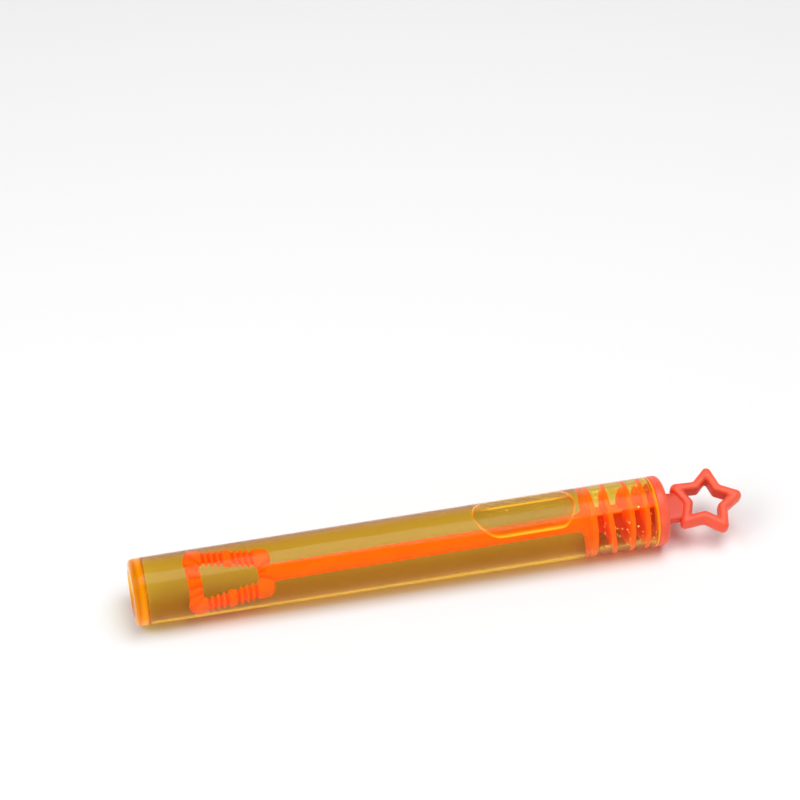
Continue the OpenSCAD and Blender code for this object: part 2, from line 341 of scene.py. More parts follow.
class Shader:
    """A node tree of a material or of the world, filled by one method for every kind of node."""

    def __init__(self, owner: Union[bpy.types.Material, bpy.types.World]) -> None:
        """Empties the owner's node tree. No material is a lamp: its faint glow is seen, not searched for."""
        owner.use_nodes = True
        if isinstance(owner, bpy.types.Material):
            owner.cycles.emission_sampling = "NONE"
        self.owner, self.tree = owner, owner.node_tree
        self.tree.nodes.clear()

    def node(self, kind: str, settings: Values = None, feeds: Values = None) -> bpy.types.Node:
        """Adds a node, with its settings first and then the values or links of its sockets.

        Args:
            kind: the node's type.
            settings: the node's own properties.
            feeds: socket name or number, and the value or link for it.

        Returns:
            The node.
        """
        node = self.tree.nodes.new(kind)
        for name, value in (settings or {}).items():
            setattr(node, name, value)
        for name, value in (feeds or {}).items():
            source = value.socket if isinstance(value, Term) else value
            if isinstance(source, bpy.types.NodeSocket):
                self.tree.links.new(source, node.inputs[name])
            else:
                node.inputs[name].default_value = source
        return node

    def term(
        self, kind: str, settings: Values = None, feeds: Values = None, output: Union[str, int] = 0
    ) -> Term:
        """Adds a node and returns one of its outputs as a term."""
        return Term(self, self.node(kind, settings, feeds).outputs[output])

    def mark(self, name: str) -> Term:
        """The value of that name that is kept at the mesh's points."""
        return self.term("ShaderNodeAttribute", {"attribute_name": name}, None, "Fac")

    def blended(self, share: Feed, low: Feed, high: Feed) -> bpy.types.NodeSocket:
        """Colour between two colours, by a share from 0 to 1."""
        return self.node("ShaderNodeMix", {"data_type": "RGBA"}, {0: share, 6: low, 7: high}).outputs[2]

    def mixed(self, share: Feed, low: bpy.types.Node, high: bpy.types.Node) -> bpy.types.Node:
        """Shader between two shaders, by a share from 0 to 1."""
        return self.node("ShaderNodeMixShader", None, {0: share, 1: low.outputs[0], 2: high.outputs[0]})

    def noise(self, size: float, detail: float = 2.0, stretch: Sequence[float] = (1, 1, 1)) -> Term:
        """Noise on Object coordinates, from 0 to 1.

        Args:
            size: about how large its grains are.
            detail: how many finer layers it has.
            stretch: how much finer it is along each axis; less than 1 draws the grains out.

        Returns:
            The noise.
        """
        place = self.node("ShaderNodeTexCoord").outputs["Object"]
        scaled = self.node("ShaderNodeMapping", None, {"Vector": place, "Scale": [s / size for s in stretch]})
        feeds = {"Vector": scaled.outputs[0], "Scale": 1.0, "Detail": detail}
        return self.term("ShaderNodeTexNoise", None, feeds)

    def sees_backdrop(self) -> Term:
        """Tells the rays that see the plain background.

        Returns:
            1 for a ray from the camera, a mirror or a clear piece, and otherwise 0.
        """
        path = self.node("ShaderNodeLightPath").outputs
        seen = Term(self, path["Is Camera Ray"])
        return seen.larger(Term(self, path["Is Glossy Ray"])).larger(Term(self, path["Is Transmission Ray"]))

    def finish(self, surface: bpy.types.Node, volume: Optional[bpy.types.Node] = None) -> None:
        """Joins the last shaders to the output.

        Args:
            surface: shader of the surface.
            volume: shader of what it encloses.
        """
        world = isinstance(self.owner, bpy.types.World)
        kind = "ShaderNodeOutputWorld" if world else "ShaderNodeOutputMaterial"
        output = self.node(kind, None, {"Surface": surface.outputs[0]})
        if volume:
            self.tree.links.new(volume.outputs[0], output.inputs["Volume"])


@dataclass(frozen=True)
class ClearFinish:
    """A clear stuff: it bends what is seen through it, tints it by depth, and lets lamplight through.

    After clear_depth, clear_share of the light is left, and each surface leaves passed of the lamplight.
    Where the mark "wet" is 1 the index is wet_ior. Where "glow" is 1 the surface shines with a painted
    glow, in warm_glow where "warm" is 1 too, and elsewhere the share faint of it is left out. The stuff
    itself shines with a painted glow at 1 over inner_glow_depth. The surface colour is painted shade
    that dims what is seen through it, the sheen dims reflections, and its waves are drawn out along X.
    """

    name: str
    ior: float
    passed: Colour
    clear_share: Colour = (1.0, 1.0, 1.0)
    clear_depth: float = 1.0 * MM
    roughness: float = 0.0
    wet_ior: Optional[float] = None
    # Colours and strength of the painted glow on the surface.
    glow: Colour = (0.0, 0.0, 0.0)
    warm_glow: Colour = (0.0, 0.0, 0.0)
    glow_strength: float = 0.0
    # Colour and depth of the painted glow in the bulk.
    inner_glow: Colour = (0.0, 0.0, 0.0)
    inner_glow_depth: float = 0.0
    wave: float = 0.0
    wave_h: float = 0.05 * MM
    wave_w: float = 2.2 * MM
    wave_stretch: float = 0.12
    sheen: float = 1.0
    # Painted shade: surface colour that dims what is seen through it.
    painted_shade_tint: Colour = (1.0, 1.0, 1.0)
    faint: float = 0.0
    marks: tuple[str, ...] = ("wet", "glow", "warm")

    def _surface(self, shader: Shader, ior: float) -> bpy.types.Node:
        """Adds the refracting shader of one index, with its faint light and waves.

        Args:
            shader: the material's node tree.
            ior: the index.

        Returns:
            The shader's node.
        """
        feeds: dict = {"IOR": ior, "Roughness": self.roughness, "Transmission Weight": 1.0}
        # The surface colour is painted shade: it dims what is seen through the surface.
        feeds["Base Color"] = (*self.painted_shade_tint, 1)
        feeds["Specular Tint"] = (self.sheen, self.sheen, self.sheen, 1)
        # Painted glow: emission where the mark "glow" is 1, for light gathered at edges and for glints,
        # though no lamp is there.
        if self.glow_strength:
            share = shader.mark("glow")
            colour = shader.blended(shader.mark("warm"), (*self.glow, 1), (*self.warm_glow, 1))
            feeds["Emission Color"] = shader.blended(share, (0, 0, 0, 1), colour)
            feeds["Emission Strength"] = self.glow_strength
            feeds["Alpha"] = share * self.faint + (1 - self.faint)
        if self.wave:
            height = shader.noise(self.wave_w, 1.0, (self.wave_stretch, 1, 1))
            bump = {"Strength": self.wave, "Distance": self.wave_h, "Height": height}
            feeds["Normal"] = shader.node("ShaderNodeBump", None, bump).outputs[0]
        return shader.node("ShaderNodeBsdfPrincipled", None, feeds)

    def make(self) -> bpy.types.Material:
        """Builds the material.

        Returns:
            The material. The absorption is the one that leaves clear_share of the light after clear_depth.
        """
        shader = Shader(bpy.data.materials.new(self.name))
        surface = self._surface(shader, self.ior)
        if self.wet_ior:
            surface = shader.mixed(shader.mark("wet"), surface, self._surface(shader, self.wet_ior))
        through = shader.node("ShaderNodeBsdfTransparent", None, {"Color": (*self.passed, 1)})
        path = shader.node("ShaderNodeLightPath").outputs
        lights = Term(shader, path["Is Shadow Ray"]).larger(Term(shader, path["Is Diffuse Ray"]))
        surface = shader.mixed(lights, surface, through)
        volume = None
        if min(self.clear_share) < 1:
            loss = [-math.log(share) / self.clear_depth for share in self.clear_share]
            density = max(loss)
            colour = [1 - one / density for one in loss]
            feeds = {"Color": (*colour, 1), "Density": density}
            volume = shader.node("ShaderNodeVolumeAbsorption", None, feeds)
        # Painted glow of the plastic's bulk: it shines though no lamp is there.
        if self.inner_glow_depth:
            feeds = {"Color": (*self.inner_glow, 1), "Strength": 1 / self.inner_glow_depth}
            glow = shader.node("ShaderNodeEmission", None, feeds)
            volume = shader.node("ShaderNodeAddShader", None, {0: volume.outputs[0], 1: glow.outputs[0]})
        shader.finish(surface, volume)
        return shader.owner


@dataclass(frozen=True)
class CoralFinish:
    """Soft coral plastic: slightly see-through, with faint cloudy flow marks and a fine satin grain.

    The clouds blend light and deep, and change the roughness by patchy. Where the mark "inside" is 1 it
    is the brighter pair of the parts that stand in the tube, with a painted glow that stands in for the
    light reaching them through the tube, and where "shade" is 1 it is deep painted shade, on sides that
    face away from the light, in grooves and on the star's neck. The other parts keep a faint painted
    glow. The share inner of the light goes below the surface, by depth times bleed.
    """

    name: str
    light: Colour
    deep: Colour
    # Colours of the parts in the tube, which also carry the painted glow, and the colour of the painted
    # shade.
    painted_glow_inside_light: Colour
    painted_glow_inside_deep: Colour
    shade: Colour
    ior: float
    roughness: float = 0.36
    patchy: float = 0.08
    cloud_w: float = 3.0 * MM
    cloud_stretch: float = 0.5
    cloud_contrast: float = 1.6
    grain_w: float = 0.12 * MM
    grain_h: float = 0.02 * MM
    grain: float = 0.12
    inner: float = 0.25
    depth: float = 1.2 * MM
    bleed: Colour = (1.0, 0.35, 0.2)
    # Strength of the painted glow, and the share of it left on parts outside the tube.
    glow_strength: float = 0.6
    glow_outside: float = 0.06
    marks: tuple[str, ...] = ("inside", "shade")

    def make(self) -> bpy.types.Material:
        """Builds the material: a cloudy noise blends the two colours, and a fine noise lifts the surface.

        Returns:
            The material.
        """
        shader = Shader(bpy.data.materials.new(self.name))
        clouds = shader.noise(self.cloud_w, 3.0, (self.cloud_stretch, 1, 1))
        cloud = (clouds * self.cloud_contrast - (self.cloud_contrast - 1) / 2).clamped()
        # The inside colours with the painted glow, blended into painted shade where the mark "shade" is 1.
        inside, shade = shader.mark("inside"), shader.mark("shade")
        outer = shader.blended(cloud, (*self.deep, 1), (*self.light, 1))
        inner = shader.blended(cloud, (*self.painted_glow_inside_deep, 1), (*self.painted_glow_inside_light, 1))
        colour = shader.blended(shade, shader.blended(inside, outer, inner), (*self.shade, 1))
        glow = shader.blended(inside * (1 - self.glow_outside) + self.glow_outside, (0, 0, 0, 1), colour)
        lift = {"Strength": self.grain, "Distance": self.grain_h, "Height": shader.noise(self.grain_w)}
        feeds = {
            "Base Color": colour,
            "Roughness": cloud * self.patchy + (self.roughness - self.patchy / 2),
            "Subsurface Weight": self.inner,
            "Subsurface Radius": self.bleed,
            "Subsurface Scale": self.depth,
            "Emission Color": glow,
            "Emission Strength": self.glow_strength,
            "Normal": shader.node("ShaderNodeBump", None, lift).outputs[0],
            "IOR": self.ior,
        }
        shader.finish(shader.node("ShaderNodeBsdfPrincipled", None, feeds))
        return shader.owner


class Finish(Enum):
    """The finishes of the wand and of what the tube holds."""

    # The amber plastic: its glow and inner glow are painted glow.
    AMBER = ClearFinish(
        "amber_clear_plastic", 1.5, (0.87, 0.86, 0.50), clear_share=(0.865, 0.735, 0.27), roughness=0.02,
        wet_ior=1.5 / 1.335, glow=(1.0, 0.38, 0.0), glow_strength=0.8,
        inner_glow=(1.0, 0.34, 0.0), inner_glow_depth=80 * MM, wave=0.15, sheen=0.25,
    )
    # The bubble: its glow is a painted rim glow and highlight, and its surface colour is painted shade.
    AIR = ClearFinish(
        "air_bubble", 1 / 1.335, (0.96, 0.96, 0.96), glow=(1.0, 0.55, 0.05), warm_glow=(1.0, 0.22, 0.005),
        glow_strength=1.3, painted_shade_tint=(0.45, 0.45, 0.4), faint=0.7,
    )
    # The droplets: their glow is painted glints.
    DROPLET = ClearFinish(
        "solution_droplets", 1.335, (0.95, 0.95, 0.95), glow=(1.0, 0.85, 0.6), glow_strength=0.6,
    )
    # The coral and orange plastics: the inside colours carry a painted glow, and shade is painted shade.
    CORAL = CoralFinish(
        "satin_coral", (1.0, 0.135, 0.06), (0.95, 0.085, 0.032), painted_glow_inside_light=(1.0, 0.195, 0.014),
        painted_glow_inside_deep=(1.0, 0.155, 0.007), shade=(0.56, 0.027, 0.003), ior=1.42,
    )
    ORANGE = CoralFinish(
        "satin_orange", (1.0, 0.135, 0.06), (0.95, 0.085, 0.032), painted_glow_inside_light=(1.0, 0.2, 0.01),
        painted_glow_inside_deep=(1.0, 0.16, 0.005), shade=(0.85, 0.062, 0.003), ior=1.15,
    )

    @cache
    def material(self) -> bpy.types.Material:
        """The finish's material, built the first time that it is asked for."""
        return self.value.make()


# Pieces


def placed(name: str, data: bpy.types.ID) -> bpy.types.Object:
    """Adds an object to the scene, at the origin.

    Args:
        name: the object's name.
        data: its mesh, lamp or camera.

    Returns:
        The object.
    """
    thing = bpy.data.objects.new(name, data)
    bpy.context.scene.collection.objects.link(thing)
    return thing


@dataclass(frozen=True)
class Piece:
    """A named mesh of one or more skins, with its finish and the body that it moves with."""

    name: str
    skins: Sequence[Skin]
    finish: Finish
    body: str
    slot: str
    stands_for: tuple[str, ...] = ()
    crease: float = math.radians(40)

    def build(self) -> None:
        """Makes the mesh, shades it smooth but for its creases, and ties it to its body."""
        offsets = np.cumsum([0] + [len(skin.points) for skin in self.skins])
        faces: list = []
        for skin, offset in zip(self.skins, offsets):
            faces += (skin.quads + offset).tolist() + (skin.tris + offset).tolist()
        mesh = bpy.data.meshes.new(self.name)
        mesh.from_pydata(np.vstack([skin.points for skin in self.skins]).tolist(), [], faces)
        for name in self.finish.value.marks:
            values = [skin.values.get(name, np.zeros(len(skin.points))) for skin in self.skins]
            data = mesh.attributes.new(name, "FLOAT", "POINT").data
            data.foreach_set("value", np.concatenate(values).astype(np.float32))
        mesh.update()
        mesh.shade_smooth()
        mesh.set_sharp_from_angle(angle=self.crease)
        mesh.materials.append(self.finish.material())
        thing = placed(self.name, mesh)
        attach(thing, self.body)
        if self.stands_for:
            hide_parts(*self.stands_for)
        LOG.info("%s: %d points, %d faces, rides on %s", self.name, offsets[-1], len(faces), self.body)


@dataclass
class ClearTube:
    """The tube: a drafted wall, a thick floor, a ring round a shallow dish, and a chamfered mouth."""

    lie: Lie
    foot_round: float = 1.0 * MM
    foot_ring_w: float = 1.2 * MM
    ring_round: float = 0.25 * MM
    dish_h: float = 0.5 * MM
    dish_round: float = 0.5 * MM
    lead_in: float = 0.45 * MM
    lead_round: float = 0.06 * MM
    rim_round: float = 0.2 * MM
    bore_round: float = 0.8 * MM
    bore_share: float = 0.7
    slack: float = 0.01 * MM
    # Width of the painted glow at the mouth's edges, and the strength, ripples and start of the painted glow
    # in the floor.
    edge_glow_w: float = 0.22 * MM
    slab_glow: float = 0.75
    slab_glow_ripple: float = 0.2
    slab_glow_ripples: float = 9.0
    slab_glow_start: float = 2 / 3
    slab_stop: Pair = (-0.05 * MM, 0.1 * MM)
    step: float = 0.9 * MM
    steps: int = 192

    def profile(self) -> Array:
        """Half of the tube's section, from the middle of the dish out, along the wall and back to the floor.

        Returns:
            Points (radius, height above the foot). A close pair keeps the slab's glow off the wall.
        """
        lie = self.lie
        ring_r = lie.foot_r - self.foot_round
        dish_r = ring_r - self.foot_ring_w
        corners = [
            (0, self.dish_h), (dish_r - self.dish_h, self.dish_h), (dish_r, 0), (lie.foot_r, 0),
            *((lie.outer_r(lie.floor_t + rise), lie.floor_t + rise) for rise in self.slab_stop),
            (lie.mouth_r, lie.tube_l), (lie.bore_mouth_r + self.lead_in, lie.tube_l),
            (lie.bore_mouth_r, lie.tube_l - self.lead_in), (lie.bore_mouth_r, lie.tube_l - lie.seat_l),
            (lie.bore_foot_r, lie.floor_t), (0, lie.floor_t),
        ]
        radii = [
            self.dish_round, self.ring_round, self.foot_round, 0, 0, self.rim_round,
            self.lead_round, self.lead_round, 0, self.bore_round,
        ]
        return rounded_line(corners, radii, self.step)

    def build(self) -> None:
        """Revolves the profile, and marks the wet bore and the ends with a painted glow, point by point."""
        lie = self.lie
        profile = self.profile()
        radius, height = profile.T
        inside = radius < lie.outer_r(height) - self.bore_share * lie.wall_t
        wet = inside & (height > lie.floor_t - self.slack) & (height < lie.tube_l - lie.plug_l)
        # Painted glow at the mouth's edges and in the thick floor, with painted ripples, though no lamp is
        # there.
        edges = np.minimum(
            np.hypot(radius - lie.mouth_r, height - lie.tube_l),
            np.hypot(radius - lie.bore_mouth_r - self.lead_in, height - lie.tube_l),
        )
        slab = self.slab_glow + self.slab_glow_ripple * np.cos(height / lie.floor_t * self.slab_glow_ripples)
        slab *= np.clip((radius / lie.foot_r - self.slab_glow_start) / (1 - self.slab_glow_start), 0, 1)
        glow = np.exp(-((edges / self.edge_glow_w) ** 2)) + slab * ((height < lie.floor_t) & ~wet)
        skin = revolved(profile + np.array([0, -lie.tube_l]), self.steps)
        skin.points = lie.laid(skin.points)
        for name, value in (("wet", wet.astype(float)), ("glow", np.clip(glow, 0, 1))):
            skin.values[name] = np.concatenate([np.repeat(value[1:-1], self.steps), value[[0, -1]]])
        Piece("clear_tube", [skin], Finish.AMBER, "tube", "clear_tube", ("tube",)).build()


@dataclass
class RingedStopper:
    """The stopper: flange, square core, end disc, and soft sealing rings that the bore has dragged."""

    lie: Lie
    flange_t: float = 2.0 * MM
    flange_round: float = 0.9 * MM
    flange_back_round: float = 0.2 * MM
    core_w: float = 3.75 * MM
    core_round: float = 0.4 * MM
    core_turn: float = math.radians(-36)
    core_rows: int = 16
    core_steps: int = 8
    # How the core's painted shade fades from its sides to its upward faces.
    core_lit: float = 0.85
    core_fade: float = 0.45
    root_r: float = 2.275 * MM
    rings: tuple[float, ...] = (-2.1 * MM, -5.35 * MM, -8.6 * MM)
    drags: tuple[float, ...] = (0.15 * MM, 0.6 * MM, 0.45 * MM)
    leans: tuple[float, ...] = (0.0, 0.0, -0.125)
    ring_t: float = 0.9 * MM
    ring_root_extra: float = 0.3 * MM
    root_round: float = 0.4 * MM
    rim_round: float = 0.22 * MM
    cup: float = 1.5
    disc_t: float = 1.2 * MM
    disc_shade: float = 0.2
    bite: float = 0.05 * MM
    # Reach and edge of the discs' painted shade.
    shade_reach: float = 1.1
    shade_hold: float = 8.0
    disc_step: float = 0.4 * MM
    flange_step: float = 0.5 * MM
    steps: int = 160

    def disc(self, middle: float, rim_t: float, root_t: float, drag: float = 0.0, lean: float = 0.0) -> Skin:
        """A sealing disc: it tapers from its root to a soft rim, is cupped by the drag, and leans by a shear.

        The painted shade kept at each point grows from the rim to the root, and from the top of the disc to
        its base.

        Args:
            middle: place of its middle along the axis.
            rim_t: thickness at the rim.
            root_t: thickness at the root.
            drag: how far the rim is pulled along the axis.
            lean: how far along the axis it is sheared per unit of +Z.

        Returns:
            The disc's skin.
        """
        rim_r = self.lie.bore_mouth_r + self.bite
        corners = [
            (0, -root_t / 2), (self.root_r, -root_t / 2), (rim_r, -rim_t / 2), (rim_r, rim_t / 2),
            (self.root_r, root_t / 2), (0, root_t / 2),
        ]
        root_round = self.root_round if root_t > rim_t else 0
        radii = [root_round, self.rim_round, self.rim_round, root_round]
        profile = rounded_line(corners, radii, self.disc_step)
        share = np.clip((profile[:, 0] - self.root_r) / (rim_r - self.root_r), 0, 1)
        profile[:, 1] += middle + drag * share**self.cup
        skin = revolved(profile, self.steps, np.full(len(profile), lean))
        radius = np.hypot(skin.points[:, 1], skin.points[:, 2])
        _, rise = turned(skin.points[:, 1], skin.points[:, 2], self.lie.roll)
        # Painted shade: darker towards the root and towards the base of the disc.
        near_rim = np.clip(radius / rim_r, 0, 1) ** self.shade_hold
        skin.values["shade"] = np.clip(self.shade_reach - rise / rim_r, 0, 1) * (1 - near_rim)
        return skin

    def core(self, start: float, end: float) -> Skin:
        """The square core with rounded edges: one rounded square carried along the axis and turned about it.

        The painted shade kept at each point is 0 where the surface faces up, and 1 where it faces sideways or
        down.

        Args:
            start: place of its inner end along the axis.
            end: place of its outer end.

        Returns:
            The core's skin.
        """
        half = self.core_w / 2
        square = np.array([(-half, -half), (half, -half), (half, half), (-half, half)])
        arcs = corner_arcs(square, [self.core_round] * 4, self.core_steps)
        y, z = np.vstack([points for points, _ in arcs]).T
        side, up = np.vstack([normals for _, normals in arcs]).T
        # Painted shade on the faces that do not face up.
        _, faces_up = turned(side, up, self.core_turn + self.lie.roll)
        shade = np.clip((self.core_lit - faces_up) / self.core_fade, 0, 1)
        y, z = turned(y, z, self.core_turn)
        along = np.linspace(start, end, self.core_rows)[:, None]
        rows = np.stack([along + 0 * y, y + 0 * along, z + 0 * along], -1)
        skin = lofted(rows, rows[0].mean(0), rows[-1].mean(0))
        skin.values["shade"] = np.append(np.tile(shade, len(along)), [0.0, 0.0])
        return skin

    def build(self) -> None:
        """Builds the discs, the core and the flange as one mesh of closed skins."""
        lie = self.lie
        disc_mid = -lie.plug_l + self.disc_t / 2
        flange_mid = lie.flange_face - self.flange_t / 2
        skins = [self.disc(disc_mid, self.disc_t, self.disc_t), self.core(disc_mid, flange_mid)]
        # The end disc keeps only a share of its painted shade.
        skins[0].values["shade"] *= self.disc_shade
        for middle, drag, lean in zip(self.rings, self.drags, self.leans):
            skins.append(self.disc(middle, self.ring_t, self.ring_t + self.ring_root_extra, drag, lean))
        back, face = lie.flange_face - self.flange_t, lie.flange_face
        flange = [(0, back), (lie.mouth_r, back), (lie.mouth_r, face), (0, face)]
        flange = rounded_line(flange, [self.flange_back_round, self.flange_round], self.flange_step)
        skins.append(revolved(flange, self.steps))
        for skin in skins:
            lie.lay_inner(skin)
        Piece("ringed_stopper", skins, Finish.CORAL, "wand", "coral_plastic", ("stopper",)).build()


def grooved(place: Array, count: int, depth: float) -> Array:
    """Height left, from 0 to 1, along a stretch with that many cosine grooves of a depth."""
    return 1 - depth * (0.5 - 0.5 * np.cos(2 * math.pi * count * place))


@dataclass
class DipStick:
    """The soft stick, which sags a little, and the dip loop with grooved sides, a lug and a dented end."""

    lie: Lie
    stick_r: float = 1.2 * MM
    stick_round: float = 0.3 * MM
    stick_step: float = 1.0 * MM
    stick_steps: int = 96
    brace_r: float = 2.25 * MM
    brace_l: float = 1.5 * MM
    brace_round: float = 1.2 * MM
    root_l: float = 0.4 * MM
    far_x: float = -85.6 * MM
    length: float = 15.7 * MM
    far_y: float = 4.6 * MM
    near_y: float = 3.15 * MM
    half_t: float = 1.25 * MM
    far_end_w: float = 3.0 * MM
    near_end_w: float = 2.6 * MM
    side_far_w: float = 1.8 * MM
    side_near_w: float = 2.25 * MM
    corner_round: float = 1.3 * MM
    hole_round: float = 0.2 * MM
    dent: float = 0.6 * MM
    hole_dent: float = 0.12 * MM
    dent_round: float = 2.0 * MM
    squareness: float = 3.4
    groove_h: float = 0.42 * MM
    side_grooves: int = 9
    lug_groove: int = 4
    near_grooves: int = 3
    far_grooves: int = 2
    end_depth: float = 0.55
    corner_depth: float = 0.4
    gap: float = 0.3 * MM
    turn: float = math.radians(8)
    sag: float = 0.33 * MM
    # Strength and most of the painted shade in the grooves.
    groove_shade: float = 1.1
    most_shade: float = 0.8
    corner_steps: int = 14
    groove_steps: int = 16
    section_steps: int = 48

    @property
    def near_x(self) -> float:
        """Place of the loop's end next to the stick."""
        return self.far_x + self.length

    def side_y(self, x: float) -> float:
        """Half width of the outer edge at a place along the axis."""
        return self.far_y + (self.near_y - self.far_y) * (x - self.far_x) / self.length

    def outline(self, far: tuple, near: tuple, dent: float, radius: float, side: int) -> tuple[Array, Array]:
        """Stations round one edge of the loop: rounded corners, and grooves cut in square to the edge.

        Args:
            far: place and half width at the far end.
            near: place and half width next to the stick.
            dent: depth of the dent in the middle of the far end.
            radius: radius of the corners.
            side: 1 for the outer edge and -1 for the hole.

        Returns:
            The stations' points, and the height left by the grooves at each, from 0 to 1.
        """
        corners = np.array([
            (far[0], -far[1]), (near[0], -near[1]), (near[0], near[1]), (far[0], far[1]), (far[0] + dent, 0)
        ])
        radii = [radius] * 4 + [self.dent_round]
        depths = (self.corner_depth, 0.0, 0.0, self.corner_depth, 0.0)
        counts = (self.side_grooves, self.near_grooves, self.side_grooves, self.far_grooves, self.far_grooves)
        marks = (self.far_x + self.far_end_w + self.gap, self.near_x - self.near_end_w - self.gap)
        arcs = corner_arcs(corners, radii, self.corner_steps)
        stations, heights = [], []
        for k in range(5):
            points, normals = arcs[k]
            height = grooved(np.linspace(0, 1, len(points)), 1, depths[k])
            stations.append(points - normals * (side * self.groove_h * (1 - height))[:, None])
            heights.append(height)
            start, end = points[-1], arcs[(k + 1) % 5][0][0]
            along = (end - start) / np.linalg.norm(end - start)
            outward = np.array([along[1], -along[0]])
            place = np.linspace(0, 1, counts[k] * self.groove_steps + 1)
            if k in (0, 2):
                order, from_far = (marks, place) if k == 0 else (marks[::-1], 1 - place)
                start, end = [start + along * (mark - start[0]) / along[0] for mark in order]
                height = grooved(place, counts[k], 1.0)
                height[np.floor(from_far * counts[k]) == self.lug_groove] = 1.0
            else:
                place = place[1:-1]
                height = grooved(place, counts[k], self.end_depth)
            points = start + (end - start) * place[:, None]
            stations.append(points - outward * (side * self.groove_h * (1 - height))[:, None])
            heights.append(height)
        return np.vstack(stations), np.concatenate(heights)

    def build(self) -> None:
        """Builds the loop between its two outlines, and the stick with its cone, as one mesh."""
        lie = self.lie
        places = (self.far_x + self.far_end_w, self.near_x - self.near_end_w)
        hole = [(x, self.side_y(x) - width) for x, width in zip(places, (self.side_far_w, self.side_near_w))]
        ends = (self.far_x, self.far_y), (self.near_x, self.near_y)
        outer, height = self.outline(*ends, self.dent, self.corner_round, 1)
        inner, _ = self.outline(*hole, self.hole_dent, self.hole_round, -1)
        half_t = self.half_t - self.groove_h * (1 - height)
        loop = bar_between(inner, outer, half_t, self.squareness, self.section_steps)
        # Painted shade in the grooves, darker where they are cut deeper.
        shade = np.clip(self.groove_shade * (1 - height), 0, self.most_shade)
        loop.values["shade"] = np.repeat(shade, self.section_steps)
        x, y, z = loop.points.T
        loop.points = np.stack([x, *turned(y, z, self.turn)], -1)
        start, disc = self.near_x - self.near_end_w / 2, -lie.plug_l
        corners = [
            (0, start), (self.stick_r, start), (self.stick_r, disc - self.brace_l), (self.brace_r, disc),
            (self.brace_r, disc + self.root_l), (0, disc + self.root_l),
        ]
        profile = rounded_line(corners, [self.stick_round, self.brace_round, 0, 0], self.stick_step)
        skins = [loop, revolved(profile, self.stick_steps)]
        for skin in skins:
            share = np.clip((disc - skin.points[:, 0]) / (disc - self.far_x), 0, 1)
            lie.lay_inner(skin)
            skin.points[:, 2] -= self.sag * share
        Piece("dip_loop_and_stick", skins, Finish.ORANGE, "wand", "coral_plastic", ("dip_stick",)).build()


@dataclass
class StarTopper:
    """The open star on its flat neck, which flares a little where it meets the flange."""

    lie: Lie
    out: float = 8.3 * MM
    tip_r: float = 5.86 * MM
    waist_r: float = 3.3 * MM
    bar_w: float = 1.8 * MM
    thickness: float = 3.0 * MM
    squareness: float = 3.0
    hole_rounds: Pair = (0.25 * MM, 0.9 * MM)
    outer_rounds: Pair = (0.85 * MM, 1.2 * MM)
    lean: float = math.radians(1.5)
    # Painted shade on the walls that face the star's hole.
    hole_wall_shade: float = 0.6
    neck_w: float = 5.8 * MM
    neck_t: float = 1.8 * MM
    neck_bite: float = 0.4 * MM
    neck_squareness: float = 5.0
    # Painted shade, even over the whole neck.
    neck_shade: float = 0.4
    flare: float = 0.12
    flare_fall: float = 14.0
    flare_rise: float = 2.2
    neck_rows: int = 24
    neck_steps: int = 64
    corner_steps: int = 20
    section_steps: int = 48

    def outline(self, offset: float, at_points: float, at_corners: float) -> Array:
        """Rounded outline of the star, parallel to the middle line of its bar.

        Args:
            offset: how far outside the middle line it runs.
            at_points: radius at the star's points.
            at_corners: radius in its inner corners.

        Returns:
            The outline's points.
        """
        tenth = math.pi / 5
        point = math.atan(self.waist_r * math.sin(tenth) / (self.tip_r - self.waist_r * math.cos(tenth)))
        radius = [self.tip_r + offset / math.sin(point), self.waist_r + offset / math.sin(point + tenth)]
        radius = np.tile(radius, 5)
        turn = np.arange(10) * tenth
        corners = np.stack([radius * np.cos(turn), radius * np.sin(turn)], -1)
        radii = np.tile([at_points, at_corners], 5)
        return np.vstack([points for points, _ in corner_arcs(corners, radii, self.corner_steps)])

    def build(self) -> None:
        """Builds the star between its outlines, leant about the neck, and the neck as a rounded slab."""
        lie = self.lie
        inner = self.outline(-self.bar_w / 2, *self.hole_rounds)
        outer = self.outline(self.bar_w / 2, *self.outer_rounds)
        half_t = np.full(len(inner), self.thickness / 2)
        star = bar_between(inner, outer, half_t, self.squareness, self.section_steps)
        # Painted shade on the walls that face the star's hole.
        angle = circle(self.section_steps) + math.pi / self.section_steps
        star.values["shade"] = np.tile(np.clip(-self.hole_wall_shade * np.cos(angle), 0, 1), len(inner))
        x, y = turned(star.points[:, 0] + self.out, star.points[:, 1], self.lean)
        star.points = np.stack([x + lie.flange_face, y, star.points[:, 2]], -1)
        turn = circle(self.neck_steps)
        along = np.linspace(0, 1, self.neck_rows)[:, None]
        flare = self.flare * np.exp(-along * self.flare_fall)
        start, end = lie.flange_face - self.neck_bite, lie.flange_face + self.out - self.waist_r
        rows = np.stack([
            start + (end - start) * along + 0 * turn,
            self.neck_w / 2 * (1 + flare) * squared(np.cos(turn), self.neck_squareness),
            self.neck_t / 2 * (1 + self.flare_rise * flare) * squared(np.sin(turn), self.neck_squareness),
        ], -1)
        neck = lofted(rows, rows[0].mean(0), rows[-1].mean(0))
        # Painted shade, even over the whole neck.
        neck.values["shade"] = np.full(len(neck.points), self.neck_shade)
        skins = [star, neck]
        for skin in skins:
            skin.points = lie.laid(skin.points)
        Piece("star_handle", skins, Finish.CORAL, "wand", "coral_plastic", ("star_topper",)).build()


